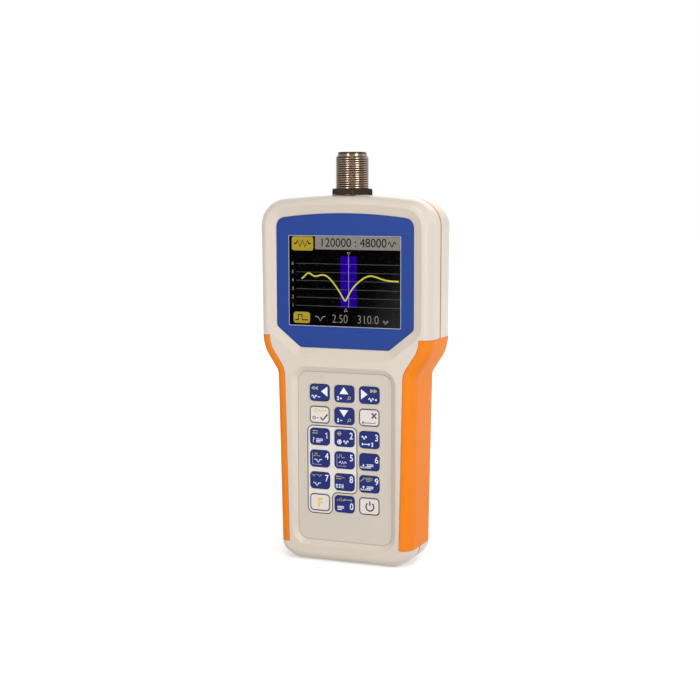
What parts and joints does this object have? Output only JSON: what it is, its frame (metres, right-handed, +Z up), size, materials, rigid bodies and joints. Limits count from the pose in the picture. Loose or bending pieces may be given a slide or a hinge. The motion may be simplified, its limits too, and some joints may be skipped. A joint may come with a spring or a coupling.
{
  "type": "antenna analyzer",
  "caption": "Handheld radio antenna analyzer with a wide display head, soft side grips, a membrane-style keypad, a threaded coaxial jack on top and a hinged battery door.",
  "frame": {"origin": "middle of the case's bottom face, half way through its depth", "axes": "+Z up towards the coaxial jack, front with the display towards -Y, +X to the right as seen from the front"},
  "size_m": [0.0888, 0.031, 0.1981],
  "materials": {
    "housing": "fine satin",
    "seal_rubber": "matte",
    "grip_rubber": "soft satin",
    "bezel_print": "satin printed film",
    "window_clear": "clear polished",
    "gasket_foam": "matte",
    "display_black": "glass over black",
    "ribbon_film": "satin film",
    "keypad_print": "satin printed film",
    "key_blue": "satin",
    "key_white": "satin",
    "dome_steel": "bright",
    "board_green": "satin solder mask",
    "chip_black": "matte",
    "shield_tin": "tin plate",
    "sounder_black": "matte",
    "socket_steel": "nickel plate",
    "jack_nickel": "nickel plate",
    "nut_nickel": "nickel plate",
    "washer_steel": "zinc plate",
    "insulator_white": "waxy",
    "contact_brass": "gold plate",
    "tray_black": "satin",
    "cell_wrap": "printed sleeve",
    "spring_steel": "nickel plate",
    "screw_black": "black oxide",
    "screw_bright": "zinc plate"
  },
  "bodies": {
    "case": {"front_shell": "housing", "rear_shell": "housing", "case_seal": "seal_rubber", "left_grip": "grip_rubber", "right_grip": "grip_rubber", "display_bezel": "bezel_print", "display_window": "window_clear", "display_gasket": "gasket_foam", "lcd_module": "display_black", "display_ribbon": "ribbon_film", "keypad_panel": "keypad_print", "key_domes": "dome_steel", "main_board": "board_green", "board_parts": "chip_black", "rf_shield": "shield_tin", "sounder": "sounder_black", "usb_socket": "socket_steel", "jack_body": "jack_nickel", "jack_nut": "nut_nickel", "jack_washer": "washer_steel", "jack_insulator": "insulator_white", "centre_contact": "contact_brass", "battery_tray": "tray_black", "cell_left": "cell_wrap", "cell_middle": "cell_wrap", "cell_right": "cell_wrap", "battery_springs": "spring_steel", "battery_contacts": "spring_steel", "case_screws": "screw_black", "board_screws": "screw_bright"},
    "key_left": {"key_left": "key_blue"},
    "key_up": {"key_up": "key_blue"},
    "key_right": {"key_right": "key_blue"},
    "key_accept": {"key_accept": "key_white"},
    "key_down": {"key_down": "key_blue"},
    "key_cancel": {"key_cancel": "key_white"},
    "key_1": {"key_1": "key_blue"},
    "key_2": {"key_2": "key_blue"},
    "key_3": {"key_3": "key_blue"},
    "key_4": {"key_4": "key_blue"},
    "key_5": {"key_5": "key_blue"},
    "key_6": {"key_6": "key_blue"},
    "key_7": {"key_7": "key_blue"},
    "key_8": {"key_8": "key_blue"},
    "key_9": {"key_9": "key_blue"},
    "key_function": {"key_function": "key_white"},
    "key_0": {"key_0": "key_blue"},
    "key_power": {"key_power": "key_white"},
    "battery_door": {"battery_door": "housing"}
  },
  "joints": [
    {"name": "press_key_left", "type": "slide", "parent": "case", "child": "key_left", "axis": [0, 1, 0], "range_m": [0, 0.0004], "stiffness_N_per_m": 1500, "springref_m": -0.0006},
    {"name": "press_key_up", "type": "slide", "parent": "case", "child": "key_up", "axis": [0, 1, 0], "range_m": [0, 0.0004], "stiffness_N_per_m": 1500, "springref_m": -0.0006},
    {"name": "press_key_right", "type": "slide", "parent": "case", "child": "key_right", "axis": [0, 1, 0], "range_m": [0, 0.0004], "stiffness_N_per_m": 1500, "springref_m": -0.0006},
    {"name": "press_key_accept", "type": "slide", "parent": "case", "child": "key_accept", "axis": [0, 1, 0], "range_m": [0, 0.0004], "stiffness_N_per_m": 1500, "springref_m": -0.0006},
    {"name": "press_key_down", "type": "slide", "parent": "case", "child": "key_down", "axis": [0, 1, 0], "range_m": [0, 0.0004], "stiffness_N_per_m": 1500, "springref_m": -0.0006},
    {"name": "press_key_cancel", "type": "slide", "parent": "case", "child": "key_cancel", "axis": [0, 1, 0], "range_m": [0, 0.0004], "stiffness_N_per_m": 1500, "springref_m": -0.0006},
    {"name": "press_key_1", "type": "slide", "parent": "case", "child": "key_1", "axis": [0, 1, 0], "range_m": [0, 0.0004], "stiffness_N_per_m": 1500, "springref_m": -0.0006},
    {"name": "press_key_2", "type": "slide", "parent": "case", "child": "key_2", "axis": [0, 1, 0], "range_m": [0, 0.0004], "stiffness_N_per_m": 1500, "springref_m": -0.0006},
    {"name": "press_key_3", "type": "slide", "parent": "case", "child": "key_3", "axis": [0, 1, 0], "range_m": [0, 0.0004], "stiffness_N_per_m": 1500, "springref_m": -0.0006},
    {"name": "press_key_4", "type": "slide", "parent": "case", "child": "key_4", "axis": [0, 1, 0], "range_m": [0, 0.0004], "stiffness_N_per_m": 1500, "springref_m": -0.0006},
    {"name": "press_key_5", "type": "slide", "parent": "case", "child": "key_5", "axis": [0, 1, 0], "range_m": [0, 0.0004], "stiffness_N_per_m": 1500, "springref_m": -0.0006},
    {"name": "press_key_6", "type": "slide", "parent": "case", "child": "key_6", "axis": [0, 1, 0], "range_m": [0, 0.0004], "stiffness_N_per_m": 1500, "springref_m": -0.0006},
    {"name": "press_key_7", "type": "slide", "parent": "case", "child": "key_7", "axis": [0, 1, 0], "range_m": [0, 0.0004], "stiffness_N_per_m": 1500, "springref_m": -0.0006},
    {"name": "press_key_8", "type": "slide", "parent": "case", "child": "key_8", "axis": [0, 1, 0], "range_m": [0, 0.0004], "stiffness_N_per_m": 1500, "springref_m": -0.0006},
    {"name": "press_key_9", "type": "slide", "parent": "case", "child": "key_9", "axis": [0, 1, 0], "range_m": [0, 0.0004], "stiffness_N_per_m": 1500, "springref_m": -0.0006},
    {"name": "press_key_function", "type": "slide", "parent": "case", "child": "key_function", "axis": [0, 1, 0], "range_m": [0, 0.0004], "stiffness_N_per_m": 1500, "springref_m": -0.0006},
    {"name": "press_key_0", "type": "slide", "parent": "case", "child": "key_0", "axis": [0, 1, 0], "range_m": [0, 0.0004], "stiffness_N_per_m": 1500, "springref_m": -0.0006},
    {"name": "press_key_power", "type": "slide", "parent": "case", "child": "key_power", "axis": [0, 1, 0], "range_m": [0, 0.0004], "stiffness_N_per_m": 1500, "springref_m": -0.0006},
    {"name": "battery_door_hinge", "type": "hinge", "parent": "case", "child": "battery_door", "pos_m": [0, 0.0155, 0.0143], "axis": [-1, 0, 0], "range_deg": [0, 75]}
  ]
}
